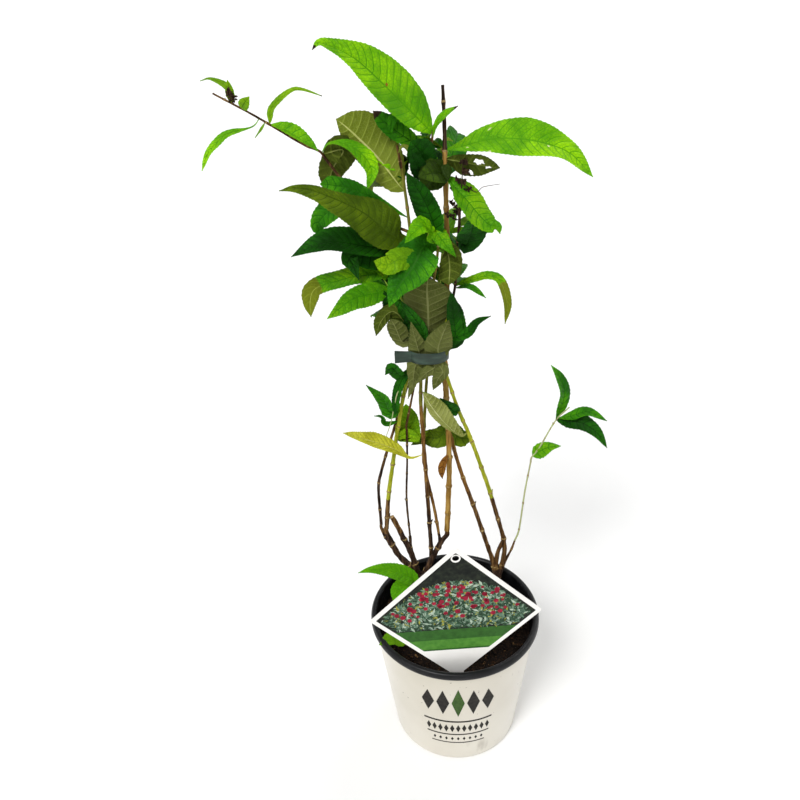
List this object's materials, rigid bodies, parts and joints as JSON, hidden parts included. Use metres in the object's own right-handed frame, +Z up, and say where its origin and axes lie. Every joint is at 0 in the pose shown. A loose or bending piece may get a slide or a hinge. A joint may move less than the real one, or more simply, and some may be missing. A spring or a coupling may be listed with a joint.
{
  "type": "potted butterfly bush",
  "caption": "Young butterfly bush with bare lower stems tied into a bundle, long opposite leaves above, standing in a round white nursery pot with black lip and square plant label",
  "frame": {"origin": "centre of the flat underside of the pot", "axes": "+Z up, the plant's long axis; -Y is the front, where the plant label faces; +X is to the right seen from the front"},
  "size_m": [0.342, 0.2201, 0.692],
  "materials": {
    "pot_plastic": "glossy cream white, lightly scuffed",
    "lip_plastic": "satin black",
    "potting_mix": "dark, moist, crumbly bark and peat",
    "label_plastic": "glossy printed card plastic",
    "woody_bark": "matt ridged brown bark",
    "green_bark": "smooth yellow green young bark",
    "foliage": "satin green leaves, dull grey green below",
    "tie_tape": "matt grey green stretch tape"
  },
  "bodies": {
    "root": {"pot": "pot_plastic", "pot_lip": "lip_plastic", "potting_soil": "potting_mix", "label": "label_plastic", "crown_left": "woody_bark", "crown_right": "woody_bark", "stem_outer_left": "woody_bark", "stem_green_left": "green_bark", "stem_thin_left": "woody_bark", "stem_dark_middle": "woody_bark", "stem_olive_middle": "woody_bark", "stem_woody_middle": "woody_bark", "stem_brown_right": "woody_bark", "stem_green_right": "green_bark", "twig_right": "green_bark", "branch_upper_left": "woody_bark", "tie_tape": "tie_tape", "foliage_top": "foliage", "foliage_top_right": "foliage", "foliage_upper_left": "foliage", "foliage_left_middle": "foliage", "foliage_left_low": "foliage", "foliage_centre": "foliage", "foliage_right": "foliage", "foliage_back": "foliage", "foliage_left_branch": "foliage", "foliage_right_twig": "foliage", "foliage_foot_left": "foliage", "foliage_foot_front": "foliage"}
  },
  "joints": []
}
